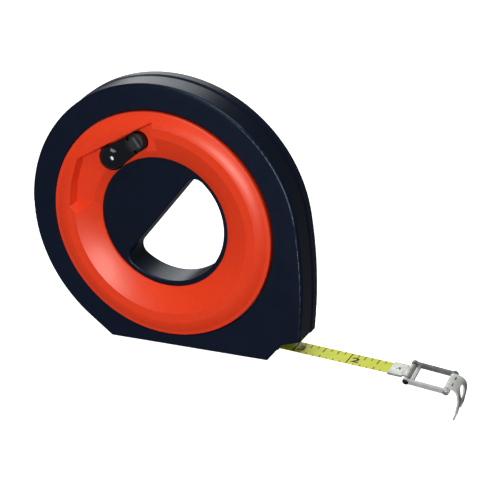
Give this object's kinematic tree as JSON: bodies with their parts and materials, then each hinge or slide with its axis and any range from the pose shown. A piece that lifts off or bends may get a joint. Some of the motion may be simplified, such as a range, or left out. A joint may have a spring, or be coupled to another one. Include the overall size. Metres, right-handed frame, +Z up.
{
  "type": "surveyor tape reel",
  "caption": "Closed-case surveyor's steel tape reel: round shell with a D-shaped hand opening, winding ring with a fold-away crank, yellow blade and a hinged end claw.",
  "frame": {"origin": "on the flat base of the case, straight under the crank axis and half way through the case's thickness", "axes": "+X is the way the blade leaves the mouth, +Y runs from the front face with the winding ring to the back face, +Z is up, away from the base"},
  "size_m": [0.2017, 0.0231, 0.144],
  "materials": {
    "case_plastic": "satin moulded ABS, navy black",
    "ring_plastic": "glossy moulded plastic, orange red",
    "crank_plastic": "glossy black plastic",
    "drum_plastic": "moulded nylon",
    "acetal": "black acetal",
    "felt": "thin felt",
    "blade_paint": "yellow-green coated spring steel with black scale",
    "hook_nickel": "nickel-plated pressed steel",
    "pin_black": "blackened steel",
    "screw_steel": "zinc-plated steel"
  },
  "bodies": {
    "case": {"front_case_shell": "case_plastic", "back_case_shell": "case_plastic", "centre_hub": "case_plastic", "case_screws": "screw_steel", "hub_screws": "screw_steel", "mouth_guide_pins": "screw_steel", "drag_washer": "felt", "tape_lead": "blade_paint"},
    "reel": {"winding_ring": "ring_plastic", "front_drum_flange": "drum_plastic", "drum_core": "drum_plastic", "back_drum_flange": "drum_plastic", "reel_screws": "screw_steel", "front_bearing_ring": "acetal", "back_bearing_ring": "acetal", "wound_tape": "blade_paint", "tape_anchor": "screw_steel", "crank_bracket": "crank_plastic", "crank_pin": "screw_steel"},
    "crank": {"crank_handle": "crank_plastic"},
    "blade": {"tape_blade": "blade_paint", "end_ferrule": "hook_nickel", "ferrule_rivet": "hook_nickel"},
    "ring": {"hook_ring": "hook_nickel", "ring_pin": "pin_black", "claw_pin": "hook_nickel"},
    "claw": {"claw": "hook_nickel"}
  },
  "joints": [
    {"name": "crank_turn", "type": "hinge", "parent": "case", "child": "reel", "pos_m": [0, 0, 0.0595], "axis": [0, 1, 0], "range_deg": [-45, 45.2]},
    {"name": "tape_slide", "type": "slide", "parent": "case", "child": "blade", "axis": [0.9978, 0, -0.0659], "range_m": [-0.04, 0.04]},
    {"name": "crank_fold", "type": "hinge", "parent": "reel", "child": "crank", "pos_m": [-0.0089, -0.0097, 0.0979], "axis": [-0.5606, 0, 0.8281], "range_deg": [0, 90]},
    {"name": "hook_ring_fold", "type": "hinge", "parent": "blade", "child": "ring", "pos_m": [0.11242, 0, 0.00141], "axis": [0.0289, 0.9659, 0.2572], "range_deg": [-90, 80]},
    {"name": "claw_fold", "type": "hinge", "parent": "ring", "child": "claw", "pos_m": [0.1306, 0, -0.00063], "axis": [0.0289, 0.9659, 0.2572], "range_deg": [-100, 0]}
  ],
  "couplings": [
    {"joint": "tape_slide", "follows": "crank_turn", "m_per_rad": -0.05055}
  ]
}
